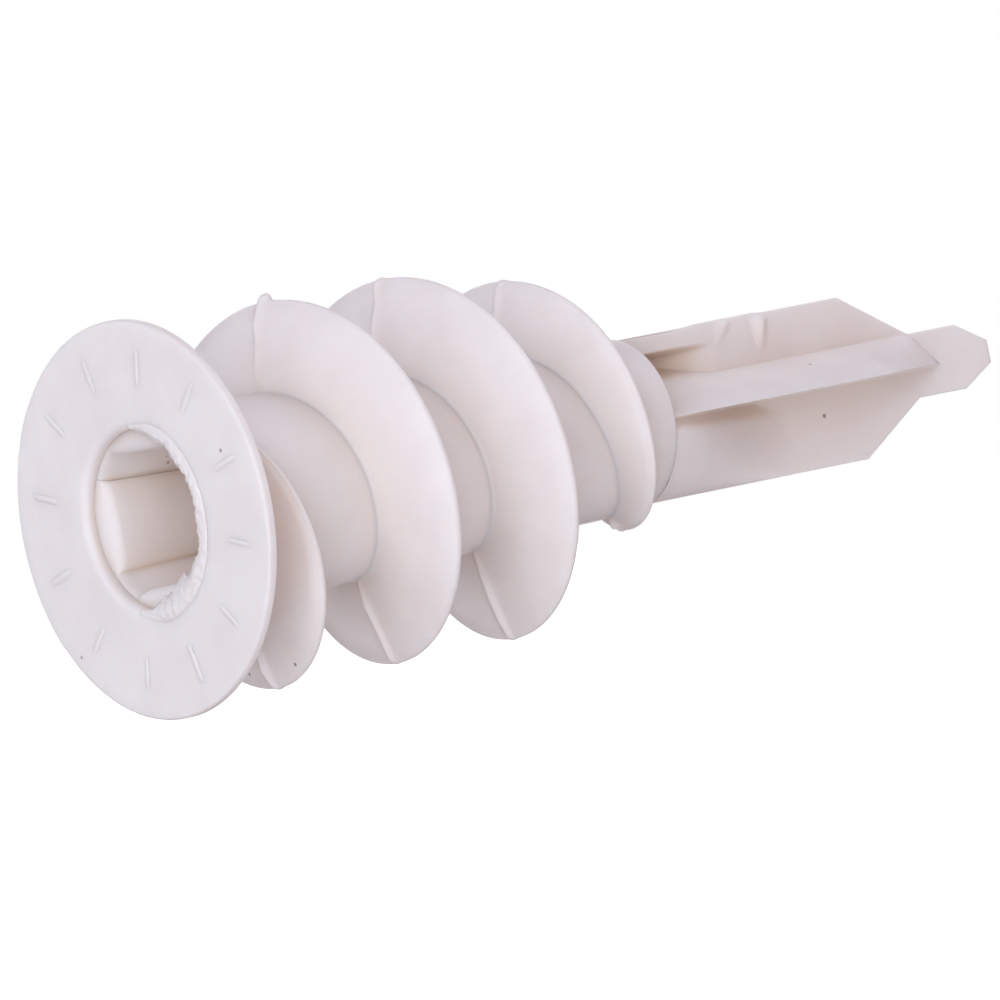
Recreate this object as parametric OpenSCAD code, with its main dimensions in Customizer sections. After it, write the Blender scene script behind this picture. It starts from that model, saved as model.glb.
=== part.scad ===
// Self-drilling wall anchor for plasterboard: one nylon moulding with a flanged
// head, a cross drive socket, a deep right-hand thread and a flat drill blade.
// The axis is X, from the outer face of the head (X = 0) towards the tip.
// The blade stands in the XZ plane and the two ribs reach out along Y.

/* [Head] */
// Diameter of the flange
flange_d = 15; // [13:0.1:18]
// Thickness of the flange at its rim
rim_t = 0.5; // [0.4:0.05:0.6]
// Thickness of the flange where it meets the barrel
head_t = 0.9; // [0.8:0.05:1.2]

/* [Drive socket] */
// Diameter of the round opening in the head
opening_d = 6.8; // [6.2:0.1:7]
// Distance from the outer face to the bottom of the socket
socket_end = 6.6; // [5:0.1:8]
// Width of each of the four wings of the cross
wing_w = 1.3; // [0.8:0.1:1.6]
// Distance across the lugs at the mouth
lug_gap = 5.1; // [4.6:0.1:5.4]

/* [Barrel] */
// Outer diameter of the barrel behind the head
barrel_d = 8; // [7.6:0.1:9]
// Outer diameter of the barrel at its end
barrel_end_d = 6.5; // [6.4:0.1:7]
// Distance from the outer face to the end of the barrel
barrel_end = 23.4; // [22.5:0.1:26]
// Diameter of the screw bore
bore_d = 2.7; // [2.2:0.1:2.7]

/* [Thread] */
// Diameter over the thread crests
thread_d = 14.2; // [12:0.1:15]
// Advance of the thread in one turn
pitch = 5.68; // [5.4:0.02:5.8]
// Width of a fin at its crest
crest_w = 0.34; // [0.2:0.02:0.6]
// Width of a fin where it leaves the barrel
fin_root_w = 1.6; // [0.8:0.1:2]

/* [Drill section] */
// Distance from the outer face to the tip
overall_l = 41.7; // [40:0.1:48]
// Width across the blade, and across the two ribs
drill_w = 6.3; // [6:0.1:6.4]
// Thickness of the blade
blade_t = 0.9; // [0.8:0.1:1]
// Width of the spade tip
spade_w = 2.5; // [2:0.1:2.7]
// Length of the spade tip, from the blade's notches
spade_l = 4; // [3.5:0.1:5]
// Length along the axis of every bevel of the drill section
bevel_l = 4.4; // [4:0.1:5]

/* [Hidden] */

nylon = "#ece6e8";
round_fn = 96;
reach = 2 * flange_d; // longer than any cut needs

// Head and socket
flange_r = flange_d / 2;
rim_chamfer = 0.12;
neck_flare = 0.8; // radius of the fillet between the flange and the barrel
socket_mouth_r = opening_d / 2 - 0.2; // the opening narrows to this across the flange
socket_end_r = 2.9;
lug_gap_end_r = 2.2;

// Barrel
function barrel_r(x) = (barrel_d + (barrel_end_d - barrel_d) * x / barrel_end) / 2;

// Thread: the crest's place and radius follow the turn angle, where 0 is the far
// side (+Y) and 90 is up. The fin rises out of the barrel along the run-in, sinks
// back along the run-out, and leans forward in its tail.
thread_step = 7.5;
crest_x0 = 6.32; // place of the crest at angle 0
thread_start = -240;
full_from = -90;
full_to = 670;
tail_from = 880;
tail_full = 990;
thread_stop = 1100;
tail_lead = 0.45; // extra advance in the tail
least_fin = 0.06; // height at which the fin begins and ends
fin_from = thread_start + 2 * thread_step; // the ends too low to mould are left off
fin_to = thread_stop - 6 * thread_step;
fillet_h = 0.35; // height up to which the fin spreads faster towards its foot
front_spread = [1.5, 0.95]; // share of the widening on the front, at the foot and above it
back_spread = [0.9, 0.45];
function smooth(t) = t <= 0 ? 0 : t >= 1 ? 1 : t * t * (3 - 2 * t);
function rise(a) = min(
    smooth((a - thread_start) / (full_from - thread_start)),
    1 - smooth((a - full_to) / (thread_stop - full_to))
);
function crest_x(a) =
    crest_x0 + pitch * a / 360 + tail_lead * smooth((a - tail_from) / (tail_full - tail_from));
function root_r(a) = barrel_r(crest_x(a));
function crest_r(a) = root_r(a) + max(least_fin, (thread_d / 2 - root_r(a)) * rise(a));

// Drill section
drill_r = drill_w / 2;
rib_foot = -0.12; // height of a rib's flat side above the axis
rib_top = spade_w / 2; // a rib's slope meets the blade level with the edge of the spade
rib_slope = (rib_top - rib_foot) / (drill_r - blade_t / 2);
function rib_z(y) = rib_foot + rib_slope * (y + drill_r);
spade_start = overall_l - spade_l;
shoulder_x = spade_start - bevel_l * (drill_w - spade_w) / (drill_w - blade_t);
rib_bevel_x = shoulder_x;
fairing_x = barrel_end + 0.8; // where the fairings start to slope down
root_end = fairing_x + bevel_l;
window_depth = 1.6; // how far past the axis the window reaches, at the barrel
window_top = rib_z(window_depth) + 0.25; // it is lowest at its deepest place
window_knee_x = barrel_end + 3.4; // where its floor turns up to the blade's face
window_knee_depth = 1;
window_end = barrel_end + 4.5;
spade_bevel_l = 1.6;
tip_half = 0.5;
tip_rise = 0.17; // how far the blunt tip stands out in its middle

// Turns a shape drawn along Z so that it runs along X
module along_x(from = 0) {
    rotate([0, 90, 0]) translate([0, 0, from]) children();
}

// Prism of a section drawn as [Y, Z], running along X
module section(from, to, points) {
    translate([from, 0, 0]) rotate([90, 0, 90]) linear_extrude(to - from) polygon(points);
}

// Prism of a plan drawn as [X, Y], running along Z
module plan(low, high, points) {
    translate([0, 0, low]) linear_extrude(high - low) polygon(points);
}

// Plate of an outline drawn as [X, Z], centred on the XZ plane
module plate(points) {
    rotate([90, 0, 0]) linear_extrude(blade_t, center = true) polygon(points);
}

// The shape turned half a turn about the axis
module opposite() {
    rotate([180, 0, 0]) children();
}

module head_flange() {
    color(nylon) along_x() rotate_extrude($fn = round_fn) polygon([
        [opening_d / 2, 0],
        [flange_r - rim_chamfer, 0],
        [flange_r, rim_chamfer],
        [flange_r, rim_t - rim_chamfer],
        [flange_r - rim_chamfer, rim_t],
        [barrel_r(head_t) + neck_flare, head_t],
        [socket_mouth_r, head_t]
    ]);
}

module drive_socket() {
    neck_end = head_t + neck_flare;
    color(nylon) along_x() rotate_extrude($fn = round_fn) polygon(concat(
        [[socket_mouth_r, head_t]],
        [for (a = [0:15:90]) [
            barrel_r(neck_end) + neck_flare * (1 - sin(a)),
            head_t + neck_flare * (1 - cos(a))
        ]],
        [[barrel_r(socket_end), socket_end], [socket_end_r, socket_end]]
    ));
}

module drive_lugs() {
    color(nylon) difference() {
        along_x() rotate_extrude($fn = round_fn) polygon([
            [lug_gap / 2, head_t],
            [socket_mouth_r, head_t],
            [socket_end_r, socket_end],
            [lug_gap_end_r, socket_end]
        ]);
        for (turn = [45, 135])
            rotate([turn, 0, 0]) cube([reach, wing_w, reach], center = true);
    }
}

module barrel() {
    color(nylon) along_x() rotate_extrude($fn = round_fn) polygon([
        [bore_d / 2, socket_end],
        [barrel_r(socket_end), socket_end],
        [barrel_r(barrel_end), barrel_end],
        [bore_d / 2, barrel_end]
    ]);
}

// Section of the fin at one turn angle, as [radius, X], from the front foot over
// the rounded crest to the back foot. The fin leans a little towards the tip.
function fin_section(a) =
    let (
        foot = root_r(a),
        top = crest_r(a),
        height = top - foot,
        half = crest_w / 2,
        grow = (fin_root_w - crest_w) / 2 * min(1, height),
        mid = crest_x(a),
        fillet = min(fillet_h, height / 3),
        profile = [
            [0, -half - front_spread[0] * grow],
            [fillet, -half - front_spread[1] * grow],
            [height - half, -half],
            [height, 0],
            [height - half, half],
            [fillet, half + back_spread[1] * grow],
            [0, half + back_spread[0] * grow]
        ]
    )
    [for (p = profile) [barrel_r(mid + p[1]) + max(p[0], 0), mid + p[1]]];

function ring_points(a) = [for (p = fin_section(a)) [p[1], p[0] * cos(a), p[0] * sin(a)]];

// A stretch of the fin between two turn angles
module fin(from, to) {
    steps = round((to - from) / thread_step);
    rings = [for (i = [0:steps]) ring_points(from + (to - from) * i / steps)];
    n = len(rings[0]);
    sides = [
        for (i = [0:steps - 1], j = [0:n - 1])
            let (a = i * n + j, b = i * n + (j + 1) % n)
            each [[a, b, a + n], [b, b + n, a + n]]
    ];
    front = [for (j = [n - 1:-1:0]) j];
    back = [for (j = [0:n - 1]) steps * n + j];
    color(nylon) polyhedron([for (ring = rings) each ring], concat(sides, [front], [back]));
}

module thread_run_in() {
    fin(fin_from, full_from);
}

module thread_turn_1() {
    fin(full_from, full_from + 360);
}

module thread_turn_2() {
    fin(full_from + 360, full_from + 720);
}

module thread_run_out() {
    fin(full_from + 720, fin_to);
}

// Open space over the near rib, which cuts into the root of the blade and leaves
// a narrow strip of the blade above a window
module window() {
    section(barrel_end, root_end, [
        [-reach, rib_z(-reach)],
        [-blade_t / 2, rib_top],
        [-blade_t / 2, reach],
        [-reach, reach]
    ]);
    intersection() {
        section(barrel_end, window_end, [
            [-drill_r, rib_z(-drill_r)],
            [window_depth, rib_z(window_depth)],
            [window_depth, window_top],
            [-drill_r, window_top]
        ]);
        plan(0, window_top, [
            [barrel_end, -drill_r],
            [window_end, -drill_r],
            [window_end, -blade_t / 2],
            [window_knee_x, window_knee_depth],
            [barrel_end, window_depth]
        ]);
    }
}

// Open space under the near rib, past the sloping fairing
module fairing_slope() {
    plan(-reach, rib_foot, [
        [fairing_x, -drill_r],
        [root_end, -blade_t / 2],
        [root_end, -reach],
        [fairing_x, -reach]
    ]);
}

module drill_root() {
    color(nylon) difference() {
        along_x(barrel_end) cylinder(h = root_end - barrel_end, r = drill_r, $fn = round_fn);
        window();
        fairing_slope();
        opposite() {
            window();
            fairing_slope();
        }
    }
}

module blade_upper() {
    color(nylon) plate([
        [root_end, 0],
        [root_end, drill_r],
        [shoulder_x, drill_r],
        [spade_start, spade_w / 2],
        [spade_start, 0]
    ]);
}

module blade_lower() {
    opposite() blade_upper();
}

// Wedge along the blade, cut off by a plane that leans back to the blade's notch
module rib_near() {
    color(nylon) polyhedron(
        [
            [root_end, -drill_r, rib_foot],
            [root_end, -blade_t / 2, rib_foot],
            [root_end, -blade_t / 2, rib_top],
            [rib_bevel_x, -drill_r, rib_foot],
            [rib_bevel_x + bevel_l, -blade_t / 2, rib_foot],
            [spade_start, -blade_t / 2, rib_top]
        ],
        [[0, 1, 2], [3, 5, 4], [0, 3, 4, 1], [0, 2, 5, 3], [1, 4, 5, 2]]
    );
}

module rib_far() {
    opposite() rib_near();
}

module spade_tip() {
    corner_x = overall_l - spade_bevel_l;
    color(nylon) plate([
        [spade_start, -spade_w / 2],
        [corner_x, -spade_w / 2],
        [overall_l - tip_rise, -tip_half],
        [overall_l, 0],
        [overall_l - tip_rise, tip_half],
        [corner_x, spade_w / 2],
        [spade_start, spade_w / 2]
    ]);
}

head_flange();
drive_socket();
drive_lugs();
barrel();
thread_run_in();
thread_turn_1();
thread_turn_2();
thread_run_out();
drill_root();
blade_upper();
blade_lower();
rib_near();
rib_far();
spade_tip();
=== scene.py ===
"""Looks of the self-drilling wall anchor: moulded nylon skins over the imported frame, on a plain white
floor in soft light. Lengths are in millimetres until a mesh is made, and the axes are the frame's own:
X runs along the anchor from head to tip, Z is up in the plane of the blade, Y runs across it.
A turn angle of 0 is the far side (+Y), 90 is up, 180 the near side and 270 is down."""

import math

import bmesh
import bpy
import numpy as np
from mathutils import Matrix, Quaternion, Vector, noise


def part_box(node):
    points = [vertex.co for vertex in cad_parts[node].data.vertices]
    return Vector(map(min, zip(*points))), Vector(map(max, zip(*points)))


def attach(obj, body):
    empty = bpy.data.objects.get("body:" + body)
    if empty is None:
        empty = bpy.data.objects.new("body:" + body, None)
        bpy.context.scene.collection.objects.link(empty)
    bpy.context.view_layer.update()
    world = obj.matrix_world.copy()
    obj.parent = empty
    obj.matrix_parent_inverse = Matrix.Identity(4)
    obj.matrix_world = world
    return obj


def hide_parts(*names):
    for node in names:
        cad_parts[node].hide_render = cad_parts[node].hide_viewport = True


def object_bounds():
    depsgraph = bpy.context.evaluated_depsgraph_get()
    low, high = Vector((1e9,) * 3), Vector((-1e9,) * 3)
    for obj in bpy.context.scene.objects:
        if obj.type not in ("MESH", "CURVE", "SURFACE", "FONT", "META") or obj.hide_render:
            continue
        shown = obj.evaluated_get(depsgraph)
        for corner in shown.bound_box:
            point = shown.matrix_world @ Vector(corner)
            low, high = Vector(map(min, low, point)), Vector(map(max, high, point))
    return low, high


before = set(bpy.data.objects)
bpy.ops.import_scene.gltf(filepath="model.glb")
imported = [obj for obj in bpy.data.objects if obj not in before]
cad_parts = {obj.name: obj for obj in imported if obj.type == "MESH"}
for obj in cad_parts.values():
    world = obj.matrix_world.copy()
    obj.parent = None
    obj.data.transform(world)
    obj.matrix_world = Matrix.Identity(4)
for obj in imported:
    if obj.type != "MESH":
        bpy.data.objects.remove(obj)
CAD_BOX = [list(corner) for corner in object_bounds()]

MM = 0.001


def low(node, axis):
    """Lowest place of a node along an axis, in millimetres."""
    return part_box(node)[0][axis] / MM


def high(node, axis):
    """Highest place of a node along an axis, in millimetres."""
    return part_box(node)[1][axis] / MM


# ---------------------------------------------------------------- dimensions from the frame
FLANGE_R = high("head_flange", 2)
HEAD_T = high("head_flange", 0)
SOCKET_END = low("barrel", 0)
BARREL_END = high("barrel", 0)
BARREL_R = high("barrel", 2)
CREST_R = high("thread_turn_1", 2)
TURN_1_MIDDLE = (low("thread_turn_1", 0) + high("thread_turn_1", 0)) / 2
PITCH = low("thread_turn_2", 0) - low("thread_turn_1", 0)
DRILL_R = high("drill_root", 2)
BLADE_HALF = high("blade_upper", 1)
SPADE_HALF = high("spade_tip", 2)
SPADE_START = low("spade_tip", 0)
TIP = high("spade_tip", 0)
RIB_FOOT = low("rib_near", 2)
RIB_TOP = high("rib_near", 2)
RIB_END = high("rib_near", 0)

# ---------------------------------------------------------------- dimensions shared by the pieces
BARREL_END_R = DRILL_R + 0.1
MOUTH_R = 3.4
BORE_R = 1.35
NECK_FILLET = 0.8
FACE_SET = 0.11  # the face lies this far inside, so that its raised marks stay in the box
SEAM_ANGLES = (90, 270)  # the mould parts along the top and the bottom


# ---------------------------------------------------------------- shape tools
def smooth(t):
    """Eases from 0 to 1, and stays flat outside."""
    t = min(1.0, max(0.0, t))
    return t * t * (3.0 - 2.0 * t)


def lerp(first, last, share):
    """Value a share of the way from the first to the last."""
    return first + (last - first) * share


def between(x, stops):
    """Straight runs through (x, value) stops."""
    return float(np.interp(x, [s[0] for s in stops], [s[1] for s in stops]))


def ridge(distance, half_width):
    """Height, from 0 to 1, of a narrow rounded ridge at a distance from its middle."""
    return 1.0 - smooth(abs(distance) / half_width)


def wander(x, y, z, size):
    """Smooth random value between about -1 and 1 that changes over the given size."""
    return noise.noise(Vector((x, y, z)) / size)


def barrel_r(x):
    """Outer radius of the barrel at a place along the axis."""
    slope = (BARREL_END_R - BARREL_R) / (BARREL_END - SOCKET_END)
    return BARREL_R + slope * (x - SOCKET_END)


def seam_distance(angle):
    """Degrees from the nearer parting line of the mould."""
    return min(abs((angle - seam + 180) % 360 - 180) for seam in SEAM_ANGLES)


def round_point(x, radius, angle):
    """Point at a turn angle in degrees and a radius about the axis."""
    a = math.radians(angle)
    return (x, radius * math.cos(a), radius * math.sin(a))


def arc(centre_x, centre_r, radius, start, stop, count):
    """Points (x, radius) round a corner of a turned profile, with angles in degrees."""
    return [
        (centre_x + radius * math.cos(math.radians(a)), centre_r + radius * math.sin(math.radians(a)))
        for a in np.linspace(start, stop, count)
    ]


def corner(before, at, after, radius, count=5):
    """Points of a rounded corner of an outline."""
    at = Vector(at)
    back = Vector(before) - at
    ahead = Vector(after) - at
    start = at + back.normalized() * min(radius, 0.45 * back.length)
    stop = at + ahead.normalized() * min(radius, 0.45 * ahead.length)
    steps = np.linspace(0, 1, count)
    return [tuple(start * (1 - s) ** 2 + at * 2 * s * (1 - s) + stop * s * s) for s in steps]


def along_line(start, stop, shares):
    """Points at shares of the way along a straight part of an outline."""
    return [tuple(Vector(start).lerp(Vector(stop), share)) for share in shares]


# ---------------------------------------------------------------- material
NYLON_PALE = (0.87, 0.84, 0.84)
NYLON_DEEP = (0.84, 0.80, 0.80)
# browner, darker colour painted into hollows as shade
HOLLOW_PAINTED_SHADE = (0.72, 0.59, 0.495)
HOLLOW_REACH = 3  # painted shade is laid into a hollow, a place with other surfaces within this distance
MOTTLE_SIZE = 2.2
GLOSS_SIZE = 1.2
SMOOTHEST = 0.40
ROUGHEST = 0.56
SPECK_COLOUR = (0.30, 0.27, 0.28)
SPECK_SPACING = 2.2
BUMPS = ((0.16, 0.006), (1.5, 0.03))  # size and depth of the fine grain and of the flow marks
SPREAD = 0.7  # how far red light spreads inside the nylon
SPREAD_BY_COLOUR = (1.0, 0.75, 0.65)
WHITE = (1, 1, 1)
BLACK = (0, 0, 0)


def nylon(name, translucency):
    """Milky moulded nylon: satin, with a faint mottle, fine grain and a few dark specks. Where it is
    translucent, shade is painted into its hollows as a browner, darker colour, standing in for light that
    bounces about in them and takes on more colour."""
    found = bpy.data.materials.get(name)
    if found:
        return found
    material = bpy.data.materials.new(name)
    material.use_nodes = True
    nodes = material.node_tree.nodes
    links = material.node_tree.links
    shader = nodes["Principled BSDF"]
    place = nodes.new("ShaderNodeTexCoord").outputs["Object"]

    def noise_at(size, detail):
        """Noise that changes over a size in millimetres."""
        texture = nodes.new("ShaderNodeTexNoise")
        texture.inputs["Scale"].default_value = 1 / (size * MM)
        texture.inputs["Detail"].default_value = detail
        links.new(place, texture.inputs["Vector"])
        return texture.outputs["Fac"]

    def ramp(value, start, stop, first, last):
        """Colour ramp between two colours, over part of the value's range."""
        element = nodes.new("ShaderNodeValToRGB")
        element.color_ramp.elements[0].position = start
        element.color_ramp.elements[1].position = stop
        element.color_ramp.elements[0].color = (*first, 1)
        element.color_ramp.elements[1].color = (*last, 1)
        links.new(value, element.inputs["Fac"])
        return element.outputs["Color"]

    def mixed(factor, under, colour):
        """The colour from a socket, with a plain colour laid over it by a factor."""
        mix = nodes.new("ShaderNodeMix")
        mix.data_type = "RGBA"
        mix.inputs["B"].default_value = (*colour, 1)
        links.new(factor, mix.inputs["Factor"])
        links.new(under, mix.inputs["A"])
        return mix.outputs["Result"]

    colour = ramp(noise_at(MOTTLE_SIZE, 3), 0.35, 0.65, NYLON_DEEP, NYLON_PALE)
    # painted shade: the colour turns browner and darker where the occlusion node finds other surfaces close
    # by
    if translucency:
        hollow = nodes.new("ShaderNodeAmbientOcclusion")
        hollow.inputs["Distance"].default_value = HOLLOW_REACH * MM
        hollow.samples = 8
        colour = mixed(ramp(hollow.outputs["AO"], 0.3, 0.97, WHITE, BLACK), colour, HOLLOW_PAINTED_SHADE)
    specks = nodes.new("ShaderNodeTexVoronoi")
    specks.inputs["Scale"].default_value = 1 / (SPECK_SPACING * MM)
    links.new(place, specks.inputs["Vector"])
    colour = mixed(ramp(specks.outputs["Distance"], 0.025, 0.05, WHITE, BLACK), colour, SPECK_COLOUR)
    links.new(colour, shader.inputs["Base Color"])

    gloss = ramp(noise_at(GLOSS_SIZE, 4), 0.3, 0.7, (SMOOTHEST,) * 3, (ROUGHEST,) * 3)
    links.new(gloss, shader.inputs["Roughness"])
    shader.inputs["IOR"].default_value = 1.5
    shader.inputs["Specular IOR Level"].default_value = 0.4
    shader.inputs["Subsurface Weight"].default_value = translucency
    shader.inputs["Subsurface Radius"].default_value = SPREAD_BY_COLOUR
    shader.inputs["Subsurface Scale"].default_value = SPREAD * MM

    last = None
    for size, depth in BUMPS:
        bump = nodes.new("ShaderNodeBump")
        bump.inputs["Distance"].default_value = depth * MM
        links.new(noise_at(size, 2), bump.inputs["Height"])
        if last:
            links.new(last, bump.inputs["Normal"])
        last = bump.outputs["Normal"]
    links.new(last, shader.inputs["Normal"])
    return material


# ---------------------------------------------------------------- mesh tools
def grid_faces(rows, columns, close_columns=False):
    """Quads of a grid of points, numbered row by row."""
    faces = []
    for i in range(rows - 1):
        for j in range(columns if close_columns else columns - 1):
            here = i * columns
            beyond = here + columns
            m = (j + 1) % columns
            faces.append((here + j, here + m, beyond + m, beyond + j))
    return faces


def make_piece(name, points, faces, *nodes):
    """Makes a smooth-shaded piece of nylon that stands for the given CAD nodes. A piece that stands for
    none is a thin skin on top of the others, so light doesn't spread inside it."""
    mesh = bpy.data.meshes.new(name)
    mesh.from_pydata([tuple(c * MM for c in p) for p in points], [], faces)
    work = bmesh.new()
    work.from_mesh(mesh)
    bmesh.ops.remove_doubles(work, verts=work.verts, dist=0.0005 * MM)
    bmesh.ops.recalc_face_normals(work, faces=work.faces)
    for face in work.faces:
        face.smooth = True
    work.to_mesh(mesh)
    work.free()
    piece = bpy.data.objects.new(name, mesh)
    bpy.context.collection.objects.link(piece)
    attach(piece, "root")
    if nodes:
        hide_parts(*nodes)
        piece.data.materials.append(nylon("moulded_nylon", 0.5))
    else:
        piece.data.materials.append(nylon("thin_nylon", 0))
    return piece


# ---------------------------------------------------------------- head
RIM_T = 0.5
RIM_ROUND = 0.12
MOUTH_ROUND = 0.3
FACE_WAVE = 0.02  # the face dips by about this much, in shallow waves
RIM_SWAY = 0.002  # share by which the rim strays from a true circle
SWAY_FROM = 5.5


def flange_profile():
    """Points (x, radius) over the flange, from the wall of the mouth over the rim to the barrel."""
    neck_end = HEAD_T + NECK_FILLET
    profile = [(HEAD_T, MOUTH_R), (RIM_T, MOUTH_R)]
    profile += arc(FACE_SET + MOUTH_ROUND, MOUTH_R + MOUTH_ROUND, MOUTH_ROUND, 270, 180, 8)
    profile += [(FACE_SET, r) for r in np.linspace(MOUTH_R + 0.5, FLANGE_R - 0.5, 14)]
    profile += arc(FACE_SET + RIM_ROUND, FLANGE_R - RIM_ROUND, RIM_ROUND, 180, 90, 7)
    profile += arc(RIM_T - RIM_ROUND / 2, FLANGE_R - RIM_ROUND / 2, RIM_ROUND / 2, 90, 10, 5)
    profile += arc(neck_end, barrel_r(neck_end) + NECK_FILLET, NECK_FILLET, 200, 270, 9)
    return profile


def flange():
    """Flange with its rounded rim and mouth, and the fillet that runs into the barrel."""
    profile = flange_profile()
    columns = 360
    points = []
    for x, r in profile:
        on_face = smooth((r - MOUTH_R) / 1.5) * (x < HEAD_T)
        by_rim = smooth((r - SWAY_FROM) / 2)
        for angle in range(columns):
            y, z = round_point(0, 1, angle)[1:]
            sway = wander(y, z, 3.1, size=0.55)
            dent = wander(r * y, r * z, x, size=2.5)
            radius = r * (1 - RIM_SWAY * by_rim * (1 + sway))
            points.append(round_point(x + FACE_WAVE * (1 + dent) * on_face, radius, angle))
    make_piece("flange", points, grid_faces(len(profile), columns, close_columns=True), "head_flange")


TICKS = 12
TICK_HEIGHT = 0.05
TICK_R = 5.75
TICK_HALF_L = 0.75
TICK_HALF_W = 0.13
TICK_SUNK = 0.03  # the edges of a tick lie this far below the face


def face_marks():
    """Ring of short raised ticks on the flange's face."""
    points = []
    faces = []
    along = np.linspace(-1, 1, 13)
    across = np.linspace(-1, 1, 7)
    for tick in range(TICKS):
        middle = 360 * (tick + 0.5) / TICKS
        turn = math.radians(middle)
        first = len(points)
        for a in along:
            for c in across:
                height = TICK_HEIGHT * (1 - a**4) * (1 - c * c)
                x, y, z = round_point(FACE_SET + TICK_SUNK - height, TICK_R + TICK_HALF_L * a, middle)
                aside = TICK_HALF_W * c
                points.append((x, y - aside * math.sin(turn), z + aside * math.cos(turn)))
        faces += [tuple(first + i for i in face) for face in grid_faces(len(along), len(across))]
    make_piece("face_marks", points, faces)


# ---------------------------------------------------------------- drive socket
SOCKET_FRONT = 0.6
LUG_SLOPE = 0.15  # how much deeper a lug's front lies at its inner edge
LUG_ROUND = 0.4
LUG_CORNER = 0.5
WING_CORNER = 0.12
LUG_FACE_R = (2.55, 2.2)  # distance of a lug's flat face from the axis, at the front and at the floor
WING_HALF = (0.66, 0.54)  # half the width of a wing of the cross, and how far it reaches, at the same places
WING_REACH = (3.24, 2.84)
WALL_SKIN = 0.05  # the socket's skin begins this far inside the flange's wall


def cross_outline(depth):
    """Outline (radius, angle) of the cross recess. Its depth is 0 by the lugs' fronts and 1 at its floor."""
    gap = lerp(*LUG_FACE_R, depth)
    half = lerp(*WING_HALF, depth)
    reach = lerp(*WING_REACH, depth)
    lug_half = gap - math.sqrt(2) * half
    spread = math.degrees(math.asin(half / reach))
    wing = [round_point(0, reach, 45 + a)[1:] for a in (-spread, -spread / 3, spread / 3, spread)]
    quarter = [(gap, -lug_half), (gap, lug_half)] + wing
    before_all = [round_point(0, reach, -45 + spread)[1:]] + quarter
    after_all = quarter[1:] + [(lug_half, gap)]
    points = []
    for k, (before, place, after) in enumerate(zip(before_all, quarter, after_all)):
        on_lug = k < 2
        points += corner(before, place, after, LUG_CORNER if on_lug else WING_CORNER)
        if on_lug:
            points += along_line(place, after, (0.4, 0.5, 0.6))
    outline = []
    for turn in range(4):
        outline += [(math.hypot(y, z), math.degrees(math.atan2(z, y)) + 90 * turn) for y, z in points]
    return outline


def drive_socket():
    """Walls of the cross recess, the rounded fronts of its four lugs, and its floor."""
    front = cross_outline(0)
    floor_line = cross_outline(1)
    wall_r = MOUTH_R + WALL_SKIN
    flat_to = 0.4  # share of a lug's front that is flat before it rounds over
    rows = []
    for share in (0, 0.2, flat_to, 0.5, 0.6, 0.7, 0.8, 0.88, 0.94, 0.98, 1):
        bend = max(0, (share - flat_to) / (1 - flat_to))
        x = SOCKET_FRONT + LUG_SLOPE * share + LUG_ROUND * (1 - math.sqrt(1 - bend**2))
        rows.append([round_point(x, lerp(wall_r, r, share), a) for r, a in front])
    wall_from = SOCKET_FRONT + LUG_SLOPE + LUG_ROUND
    for depth in np.linspace(0, 1, 14)[1:]:
        x = lerp(wall_from, SOCKET_END, depth)
        rows.append([round_point(x, r, a) for r, a in cross_outline(depth)])
    for further, share in ((0.1, 0.85), (0.5, 0.1), (0.7, 0)):
        rows.append([round_point(SOCKET_END + further, lerp(BORE_R, r, share), a) for r, a in floor_line])
    points = [p for row in rows for p in row]
    faces = grid_faces(len(rows), len(front), close_columns=True)
    make_piece("socket_walls", points, faces, "drive_socket", "drive_lugs")


# ---------------------------------------------------------------- flash at the mouth
FLASH_FROM = 95
FLASH_TO = 290
FLASH_FADE = 30
FLASH_REACH = 0.32
FLASH_CROWN = 0.12
FLASH_T = 0.12
FLAP_AT = 246  # turn angle at which the flash reaches furthest across the opening
FLAP_REACH = 0.45
FLAP_HALF = 28


def mouth_flash():
    """Lumpy lip of flash along the near edge of the opening, with a ragged skin that curls inwards."""
    points = []
    angles = np.arange(FLASH_FROM, FLASH_TO, 0.7)
    steps = np.linspace(0, 1, 12)
    for angle in angles:
        ends = smooth((angle - FLASH_FROM) / FLASH_FADE) * smooth((FLASH_TO - angle) / FLASH_FADE)
        y, z = round_point(0, MOUTH_R, angle)[1:]
        rag = 0.4 * wander(y, z, 0.4, size=0.8) + 0.25 * wander(y, z, 5.2, size=0.2)
        flap = FLAP_REACH * ridge(angle - FLAP_AT, FLAP_HALF)
        inward = ends * max(0.03, FLASH_REACH + flap + rag)
        outward = 0.25 + 0.25 * ends
        for t in steps:
            lump = 1 + 0.9 * wander(y * (1 + t), z * (1 + t), 2.9, size=0.3)
            crown = FLASH_CROWN * ends * lump * math.sin(math.pi * min(1, t / 0.9)) ** 0.7
            radius = lerp(MOUTH_R + outward, MOUTH_R - inward, t)
            curl = 0.5 * max(0.0, MOUTH_R + 0.1 - radius) * t
            points.append(round_point(max(0.0, FACE_SET + 0.02 - crown) + curl, radius, angle))
    film = make_piece("mouth_flash", points, grid_faces(len(angles), len(steps)))
    thick = film.modifiers.new("thickness", "SOLIDIFY")
    thick.thickness = FLASH_T * MM
    thick.offset = -1


# ---------------------------------------------------------------- barrel
BARREL_SEAM = 0.07  # height of the seam along the barrel
BARREL_SEAM_HALF = 2.2  # half its width, in degrees
END_ROUND = 0.12


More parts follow.
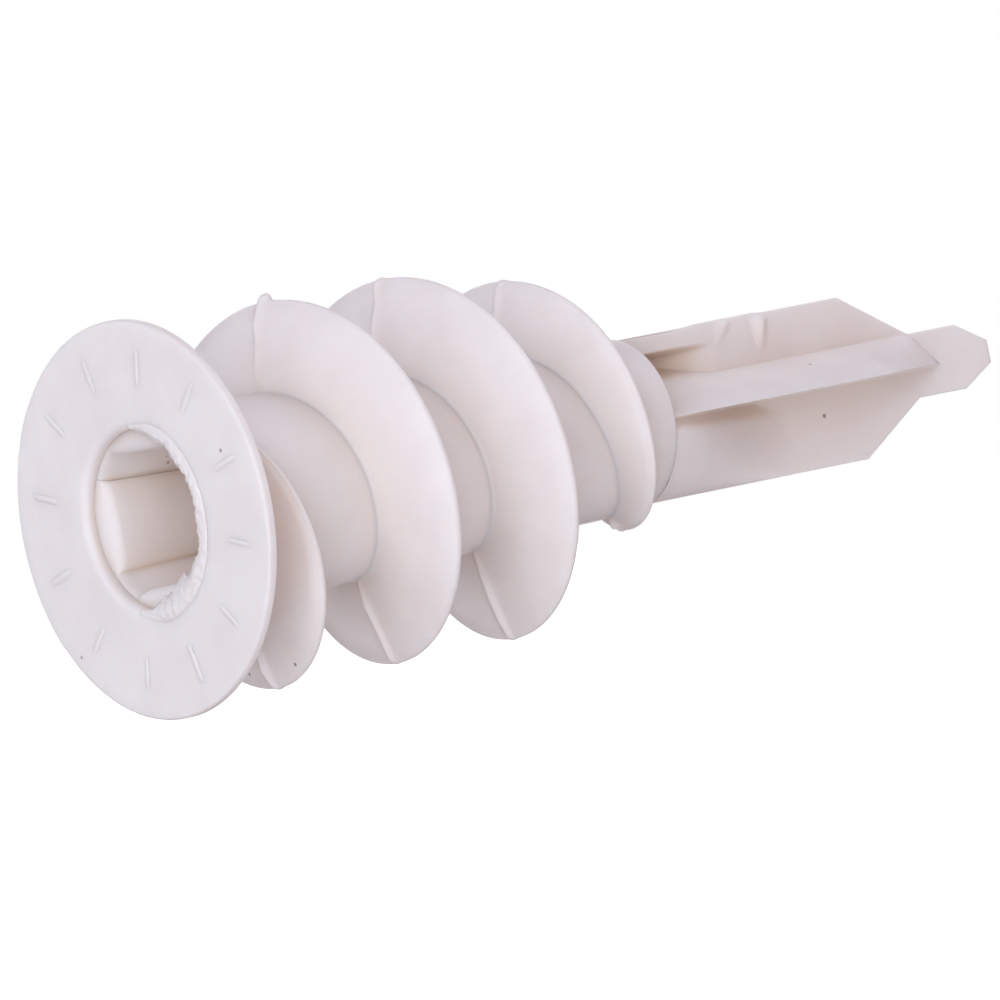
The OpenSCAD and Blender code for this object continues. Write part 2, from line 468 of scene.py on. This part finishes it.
def barrel():
    """Tapered barrel with the seam of the mould along its top and bottom, and the screw bore."""
    start = HEAD_T + NECK_FILLET - 0.05
    outside = [(x, barrel_r(x)) for x in np.linspace(start, BARREL_END - END_ROUND, 40)]
    outside += arc(BARREL_END - END_ROUND, BARREL_END_R - END_ROUND, END_ROUND, 80, 0, 5)
    profile = outside + [(BARREL_END, BORE_R), (SOCKET_END + 0.3, BORE_R)]
    angles = [a for a in np.arange(0, 360, 3.0) if seam_distance(a) > 3.5]
    angles += [seam + step for seam in SEAM_ANGLES for step in np.arange(-3, 3.1, 0.5)]
    angles.sort()
    points = []
    for x, r in profile:
        for angle in angles:
            uneven = max(0.2, 1 + 1.5 * wander(x, angle // 180, 0.7, size=0.9))
            seam = BARREL_SEAM * ridge(seam_distance(angle), BARREL_SEAM_HALF) * uneven
            points.append(round_point(x, r + seam * (r > BORE_R), angle))
    make_piece("barrel_tube", points, grid_faces(len(profile), len(angles), close_columns=True), "barrel")


# ---------------------------------------------------------------- thread
CREST_ROUND = 0.19
FRONT_HALF = 1.12  # half-width of the fin's foot, on the side of the head
BACK_HALF = 0.85  # and on the side of the tip
FOOT_FILLET = 0.14
FOOT_SPARE = 0.03  # the skin inside the barrel is this much wider than the foot
FOOT_LEAN = 0.19  # how far the middle of a fin's foot lies behind its crest, towards the head
FULL_HEIGHT = 3.25  # a fin of this height has its full width
LEAST_HEIGHT = 0.06
LEAST_WIDTH = 0.45  # share of its width that the fin keeps where it is lowest
LEAST_SUNK = 0.08  # the skin of the fin goes on this deep inside the barrel
FIN_SUNK = 0.6  # and this much deeper where the fin is full
THREAD_START = -240  # turn angles between which the fin grows, is full, and sinks again
FULL_FROM = -90
FULL_TO = 670
THREAD_STOP = 1100
SKIN_FROM = THREAD_START + 15  # the skin leaves out both ends, where the fin is too low to show
SKIN_TO = THREAD_STOP - 45
TAIL_FROM = 880  # between these turn angles the tail draws ahead of the even pitch
TAIL_FULL = 990
TAIL_LEAD = 0.45
SEAM_HALF = 0.32
SEAM_OUT = 0.05  # how far the seam stands out of the crest
SEAM_ASIDE = 0.18  # and of the fin's sides
NUB_AT = SEAM_ANGLES[0] + 1
NUB_HALF = 2.6  # in degrees
NUB_HEIGHT = 0.28


def crest_x(angle):
    """Place of the crest along the axis at a turn angle."""
    lead = TAIL_LEAD * smooth((angle - TAIL_FROM) / (TAIL_FULL - TAIL_FROM))
    return TURN_1_MIDDLE + FOOT_LEAN + PITCH * (angle - 90) / 360 + lead


def fin_height(angle):
    """Height of the fin above the barrel: it grows out of the barrel and sinks back into it."""
    grow = smooth((angle - THREAD_START) / (FULL_FROM - THREAD_START))
    sink = 1 - smooth((angle - FULL_TO) / (THREAD_STOP - FULL_TO))
    return max(LEAST_HEIGHT, (CREST_R - barrel_r(crest_x(angle))) * min(grow, sink))


def fin_side(height, foot_half, crest_half, fillet, sunk):
    """One side of the fin's section as (height, distance from its middle), from inside the barrel up."""
    inside = foot_half + fillet + FOOT_SPARE
    side = [(-sunk, inside), (-LEAST_HEIGHT, inside)]
    for share in (0, 0.02, 0.08, 0.18, 0.35, 0.6, 1.0):
        h = fillet * share
        rounding = fillet - math.sqrt(max(0.0, fillet**2 - (fillet - h) ** 2))
        side.append((h, lerp(foot_half, crest_half, h / height) + rounding))
    for share in (0.3, 0.55, 0.8, 1.0):
        h = lerp(fillet, height - crest_half, share)
        side.append((h, lerp(foot_half, crest_half, h / height)))
    return side


def fin_section(angle):
    """Closed row of points (height, place along the axis) over the fin at a turn angle."""
    height = fin_height(angle)
    share = min(1.0, height / FULL_HEIGHT)
    width = lerp(LEAST_WIDTH, 1, share)
    crest_half = min(CREST_ROUND * width, height / 3)
    fillet = min(FOOT_FILLET * width, height / 3)
    sunk = LEAST_SUNK + FIN_SUNK * share**2
    front = fin_side(height, FRONT_HALF * width, crest_half, fillet, sunk)
    back = fin_side(height, BACK_HALF * width, crest_half, fillet, sunk)
    crest = arc(height - crest_half, 0, crest_half, -75, 75, 11)
    return [(h, -d) for h, d in front] + crest + [(h, d) for h, d in reversed(back)]


def nub(angle, share):
    """Height of the spot of flash left on the crest of the first full turn, where it meets the seam."""
    return NUB_HEIGHT * ridge(angle - NUB_AT, NUB_HALF) * smooth((share - 0.85) / 0.15)


def thread():
    """The whole fin in one skin, with the seam of the mould standing out as narrow ridges."""
    angles = [a for a in np.arange(SKIN_FROM, SKIN_TO + 0.1, 3.0) if seam_distance(a) > 2.7]
    for turn in range(-1, 3):
        for seam in SEAM_ANGLES:
            angles += [turn * 360 + seam + step for step in np.arange(-2.4, 2.5, 0.6)]
    angles = sorted(a for a in angles if SKIN_FROM <= a <= SKIN_TO)
    points = []
    for angle in angles:
        tall = fin_height(angle)
        middle = crest_x(angle)
        from_seam = math.radians(seam_distance(angle))
        for h, along in fin_section(angle):
            r = barrel_r(middle + along) + h
            uneven = max(0.3, 1 + 1.2 * wander(1.8 * h, middle, 0, size=1.0))
            half = SEAM_HALF * (1 + 0.8 * wander(2.5 * h, middle, 4.0, size=1.0))
            rise = ridge(from_seam * r, half) * smooth(h / 0.4) * uneven
            side = min(1, max(-1, along / CREST_ROUND))
            out = SEAM_OUT * rise * (1 - abs(side)) + nub(angle, h / tall)
            points.append(round_point(middle + along + SEAM_ASIDE * rise * side, r + out, angle))
    columns = len(points) // len(angles)
    faces = grid_faces(len(angles), columns, close_columns=True)
    last = len(points) - columns
    faces += [tuple(range(columns)), tuple(last + j for j in range(columns))]
    nodes = ("thread_run_in", "thread_turn_1", "thread_turn_2", "thread_run_out")
    make_piece("thread_fin", points, faces, *nodes)


# ---------------------------------------------------------------- drill section
DRILL_NODES = ("drill_root", "blade_upper", "blade_lower", "rib_near", "rib_far", "spade_tip")
BEVEL_L = 3.1
SHOULDER = high("blade_upper", 0) - BEVEL_L
POINT_L = 1.6
SPADE_CORNER = TIP - POINT_L
TIP_HALF = 0.5
NOSE = 0.25
NOSE_DROP = 0.35  # how far the rounded end lowers the blade's edge
RIB_SLOPE = (RIB_TOP - RIB_FOOT) / (DRILL_R - BLADE_HALF)
EDGE = 0.09  # rounding of the drill's edges
RIB_CLEAR = 0.03  # a rib's top stays this far below the blade's edge
LEAST_RIB = 0.002
JUNCTION_ROUND = 0.15
UNDER_ROUND = 0.12
SCOOP_DEPTH = 2.0
SCOOP_FROM = BARREL_END + 1.0
SCOOP_TO = BARREL_END + 4.9
STRIP_LOW = 2.2  # above the scoop a strip of the blade stands whole, and its foot lies between these heights
STRIP_HIGH = 2.45
FAIRING_FROM = BARREL_END - 0.3
FAIRING_L = 8
GROOVE = 0.32  # depth of the hollow that follows the underside of a rib
GROOVE_W = 0.7
SWELL = 0.05
SWELL_FROM = BARREL_END + 3.8
SWELL_TO = BARREL_END + 6.9
SWELL_EASE = 0.6
BURRS = (  # place of the foot and of the top along the axis, their heights, and how far the burr stands out
    (BARREL_END + 6.96, BARREL_END + 7.22, 1.65, 2.95, 0.22),
    (BARREL_END + 4.85, BARREL_END + 5.5, 2.15, 3.05, 0.10),
)
BURR_HEADWARD = (0.12, 0.54)  # length of a burr's slope towards the head, at its foot and at its top
BURR_TIPWARD = 0.45
MARKS_FROM = BARREL_END + 3.6  # the skin is finest between these places
MARKS_TO = BARREL_END + 8.0


def nose(x):
    """Falls from 1 to 0 over the rounded end of the tip."""
    return math.sqrt(max(0.0, 1 - max(0.0, (x - TIP + NOSE) / NOSE) ** 2))


def blade_top(x):
    """Half the width of the blade: full, then the shoulder's bevel, the spade and its blunt tip."""
    bevel = [(SHOULDER, DRILL_R), (SPADE_START, SPADE_HALF)]
    spade = [(SPADE_CORNER, SPADE_HALF), (TIP - NOSE, TIP_HALF)]
    return between(x, bevel + spade) - NOSE_DROP * (1 - nose(x))


def rib_top(x, top):
    """Height at which a rib meets the blade. Along the spade it sinks to the rib's foot."""
    stops = [(SPADE_START - 0.3, RIB_TOP), (SPADE_START + 0.1, SPADE_HALF - 0.1), (RIB_END, RIB_FOOT)]
    return max(min(between(x, stops), top - RIB_CLEAR), RIB_FOOT + LEAST_RIB)


def scoop(x):
    """How far the scoop at the root is sunk into the blade's upper face."""
    return SCOOP_DEPTH * (1 - smooth((x - SCOOP_FROM) / (SCOOP_TO - SCOOP_FROM)))


def blade_marks(x, z):
    """Height of the two small burrs that stand on the upper face beside the scoop."""
    height = 0.0
    for foot_x, top_x, foot_z, top_z, tall in BURRS:
        share = (z - foot_z) / (top_z - foot_z)
        if 0 < share < 1.1:
            crest = lerp(foot_x, top_x, share)
            if x < crest:
                rise = max(0.0, 1 - (crest - x) / lerp(*BURR_HEADWARD, share))
            else:
                rise = 1 - smooth((x - crest) / BURR_TIPWARD)
            height += tall * rise * min(1, share * 1.4) * (1 - smooth((share - 0.9) / 0.2))
    return height


def fairing_half(x, half, rib_edge):
    """Half the thickness under the ribs: round by the barrel, and thinning to the blade."""
    if x >= SHOULDER:
        return half
    thinned = lerp(DRILL_R, BLADE_HALF, smooth((x - FAIRING_FROM) / FAIRING_L))
    return max(half, min(thinned, rib_edge))


def fairing_y(half, fairing, z, bottom):
    """Place of the surface under a rib: a half ellipse by the barrel, flat along the blade, with a groove
    that follows the rib."""
    full = lerp(half, fairing, math.sqrt(max(0.0, 1 - (z / bottom) ** 2)))
    groove = GROOVE * (1 - smooth((RIB_FOOT - z) / GROOVE_W))
    return -max(half, full - groove)


def one_side(x, marked):
    """Outline (y, z) of one side of the drill at a place along the axis, from its top to its bottom. The
    marked side carries the burrs, and its top edge swells a little under them."""
    bottom = -blade_top(x)
    swell = SWELL * (smooth((x - SWELL_FROM) / SWELL_EASE) - smooth((x - SWELL_TO) / SWELL_EASE))
    top = swell * marked - bottom
    half = BLADE_HALF * max(0.0005, nose(x))
    rib_edge = between(x, [(SHOULDER, DRILL_R), (RIB_END, half), (TIP, half)])
    fairing = fairing_half(x, half, rib_edge)
    sunk = scoop(x)

    upper_corner = (-half, top)
    junction = (-half + sunk, rib_top(x, top) + RIB_SLOPE * sunk)
    edge = (-max(rib_edge, half), RIB_FOOT)
    under = (fairing_y(half, fairing, RIB_FOOT, bottom), RIB_FOOT)
    lower = (-half, bottom)

    outline = [(0, top)] + corner((0, top), upper_corner, junction, EDGE)
    for z in np.linspace(outline[-1][1], junction[1] + 0.02, 30)[1:]:
        deep = smooth((STRIP_HIGH - z) / (STRIP_HIGH - STRIP_LOW))
        outline.append((-half + sunk * deep - blade_marks(x, z) * marked, z))
    outline += corner(outline[-1], junction, edge, JUNCTION_ROUND)
    outline += along_line(junction, edge, (0.25, 0.5, 0.75))
    outline += corner(junction, edge, under, EDGE)
    outline += corner(edge, under, (under[0], bottom), UNDER_ROUND)
    below = outline[-1][1]
    for z in np.linspace(below, min(below, bottom + EDGE), 16)[1:]:
        outline.append((fairing_y(half, fairing, z, bottom), z))
    outline += corner(outline[-1], lower, (0, bottom), EDGE)
    return outline


def drill_stations():
    """Places along the axis at which the drill's outline is drawn, from its root to its tip."""
    runs = [
        (BARREL_END - 0.1, MARKS_FROM, 0.15),
        (MARKS_FROM, MARKS_TO, 0.06),
        (MARKS_TO, SHOULDER - 0.2, 0.4),
        (SHOULDER - 0.1, RIB_END + 0.2, 0.1),
        (RIB_END + 0.3, TIP - NOSE, 0.2),
    ]
    stations = [x for start, stop, step in runs for x in np.arange(start, stop, step)]
    return stations + [TIP - NOSE * (1 - math.sin(math.radians(a))) for a in range(0, 91, 10)]


def drill_section():
    """Lofted skin over the drill: scooped root, ribs that slope up to the blade, and the spade."""
    stations = drill_stations()
    points = []
    for x in stations:
        points += [(x, y, z) for y, z in one_side(x, marked=True)]
        points += [(x, -y, -z) for y, z in one_side(x, marked=False)]
    columns = len(points) // len(stations)
    faces = grid_faces(len(stations), columns, close_columns=True)
    faces.append(tuple(range(columns)))
    skin = make_piece("drill_section", points, faces, *DRILL_NODES)
    flat = skin.modifiers.new("shading", "WEIGHTED_NORMAL")
    flat.keep_sharp = False


# ---------------------------------------------------------------- stage
FLOOR_HALF = 400
GLOW_NEAR = 0.78
GLOW_FAR = 1.05
GLOW_FROM = 20  # the floor's glow rises between these distances from under the anchor's middle
GLOW_TO = 70


def floor_material():
    """White matt floor that glows, so that only a faint shadow shows, and none away from the anchor."""
    material = bpy.data.materials.new("floor")
    material.use_nodes = True
    nodes = material.node_tree.nodes
    links = material.node_tree.links
    shader = nodes["Principled BSDF"]
    shader.inputs["Base Color"].default_value = (0.8, 0.8, 0.8, 1)
    shader.inputs["Roughness"].default_value = 0.9
    shader.inputs["Specular IOR Level"].default_value = 0.0
    shader.inputs["Emission Color"].default_value = (*WHITE, 1)
    place = nodes.new("ShaderNodeTexCoord").outputs["Object"]
    away = nodes.new("ShaderNodeVectorMath")
    away.operation = "LENGTH"
    links.new(place, away.inputs[0])
    glow = nodes.new("ShaderNodeMapRange")
    glow.inputs["From Min"].default_value = GLOW_FROM * MM
    glow.inputs["From Max"].default_value = GLOW_TO * MM
    glow.inputs["To Min"].default_value = GLOW_NEAR
    glow.inputs["To Max"].default_value = GLOW_FAR
    links.new(away.outputs["Value"], glow.inputs["Value"])
    links.new(glow.outputs["Result"], shader.inputs["Emission Strength"])
    return material


def floor():
    """Plain pale floor that the flange stands on."""
    half = FLOOR_HALF
    corners = [(-half, -half, 0), (half, -half, 0), (half, half, 0), (-half, half, 0)]
    mesh = bpy.data.meshes.new("floor")
    mesh.from_pydata([tuple(c * MM for c in p) for p in corners], [], [(0, 1, 2, 3)])
    sheet = bpy.data.objects.new("floor", mesh)
    bpy.context.collection.objects.link(sheet)
    sheet.location = Vector((TIP / 2, 0, -FLANGE_R)) * MM
    mesh.materials.append(floor_material())
    sheet.visible_diffuse = False
    sheet.visible_glossy = False
    sheet.visible_shadow = False


FILL_COLOUR = (1.0, 0.62, 0.55)
FILL_STRENGTH = 0.21


def surroundings():
    """White all round for the camera, and an even, dimmer fill for everything else."""
    world = bpy.data.worlds.new("surroundings")
    bpy.context.scene.world = world
    world.use_nodes = True
    nodes = world.node_tree.nodes
    links = world.node_tree.links
    white = nodes.new("ShaderNodeBackground")
    white.inputs["Color"].default_value = (*WHITE, 1)
    fill = nodes["Background"]
    fill.inputs["Color"].default_value = (*FILL_COLOUR, 1)
    fill.inputs["Strength"].default_value = FILL_STRENGTH
    seen = nodes.new("ShaderNodeLightPath").outputs["Is Camera Ray"]
    mix = nodes.new("ShaderNodeMixShader")
    links.new(seen, mix.inputs["Fac"])
    links.new(fill.outputs["Background"], mix.inputs[1])
    links.new(white.outputs["Background"], mix.inputs[2])
    links.new(mix.outputs["Shader"], nodes["World Output"].inputs["Surface"])


# ---------------------------------------------------------------- lights
BOX_DISTANCE = 600
BOX_SIZE = 480
SOFT_BOXES = {  # the direction that each box stands in, and its power in red, green and blue
    "head_near": ((-0.8, -0.8, 0.2), (1.60, 1.56, 1.51)),
    "head_up": ((-0.8, -0.2, 0.9), (0.74, 0.94, 1.20)),
    "head_low": ((-0.8, -0.3, -0.6), (0.86, 0.97, 1.08)),
    "near_low": ((-0.2, -0.8, -0.6), (0.88, 1.03, 1.22)),
    "far": ((-0.6, 0.8, 0.2), (0.68, 0.80, 0.88)),
    "back": ((0.6, 0.8, 0.2), (0.92, 0.97, 0.94)),
    "tip_up": ((0.6, -0.3, 0.8), (1.20, 1.29, 1.46)),
    "tip_low": ((0.7, -0.3, -0.6), (0.40, 0.38, 0.34)),
}
LAMP_POWER = 1.6e-5
LAMP_COLOUR = (1.0, 0.78, 0.62)
LAMP_RADIUS = 0.8
LAMP_BEFORE_END = 0.9


def soft_box(name, direction, powers):
    """Square soft box that shines at the middle of the anchor from a direction."""
    strongest = max(powers)
    light = bpy.data.lights.new(name, "AREA")
    light.shape = "SQUARE"
    light.size = BOX_SIZE * MM
    light.energy = strongest
    light.color = [power / strongest for power in powers]
    lamp = bpy.data.objects.new(name, light)
    bpy.context.collection.objects.link(lamp)
    middle = Vector(((CAD_BOX[0][0] + CAD_BOX[1][0]) / 2, 0, 0))
    away = Vector(direction).normalized()
    lamp.location = middle + away * BOX_DISTANCE * MM
    lamp.rotation_mode = "QUATERNION"
    lamp.rotation_quaternion = (-away).to_track_quat("-Z", "Y")


def glow_in_socket():
    """Faint lamp at the bottom of the socket, for the light that comes in through its translucent wall."""
    light = bpy.data.lights.new("socket_glow", "POINT")
    light.energy = LAMP_POWER
    light.color = LAMP_COLOUR
    light.shadow_soft_size = LAMP_RADIUS * MM
    lamp = bpy.data.objects.new("socket_glow", light)
    bpy.context.collection.objects.link(lamp)
    lamp.location = ((SOCKET_END - LAMP_BEFORE_END) * MM, 0, 0)
    lamp.visible_camera = False


def lights():
    """Large soft boxes all round, strongest before the head and on the near side."""
    for name, (direction, powers) in SOFT_BOXES.items():
        soft_box(name, direction, powers)
    glow_in_socket()


# ---------------------------------------------------------------- camera
VIEW_ANGLE = math.radians(52.83)  # between the view line and the anchor's axis
ROLL = math.radians(11.35)
DISTANCE = 600
FIELD = 36.94  # width of the picture at the anchor
SENSOR = 36
AIM = (10.54, -8.00, -1.85)


def camera():
    """Long lens, level with the anchor and rolled so that its tip rises to the right."""
    data = bpy.data.cameras.new("camera")
    data.sensor_width = SENSOR
    data.lens = SENSOR * DISTANCE / FIELD
    data.clip_start = 10 * MM
    data.clip_end = 10000 * MM
    eye = bpy.data.objects.new("camera", data)
    bpy.context.collection.objects.link(eye)
    back = Vector((-math.cos(VIEW_ANGLE), -math.sin(VIEW_ANGLE), 0))
    eye.location = back * DISTANCE * MM
    aim = Vector(AIM) * MM
    look = (aim - eye.location).to_track_quat("-Z", "Y")
    eye.rotation_mode = "QUATERNION"
    eye.rotation_quaternion = look @ Quaternion((0, 0, 1), -ROLL)
    bpy.context.scene.camera = eye


# ---------------------------------------------------------------- scene
flange()
face_marks()
drive_socket()
mouth_flash()
barrel()
thread()
drill_section()
floor()
surroundings()
lights()
camera()
bpy.context.scene.view_settings.view_transform = "Standard"
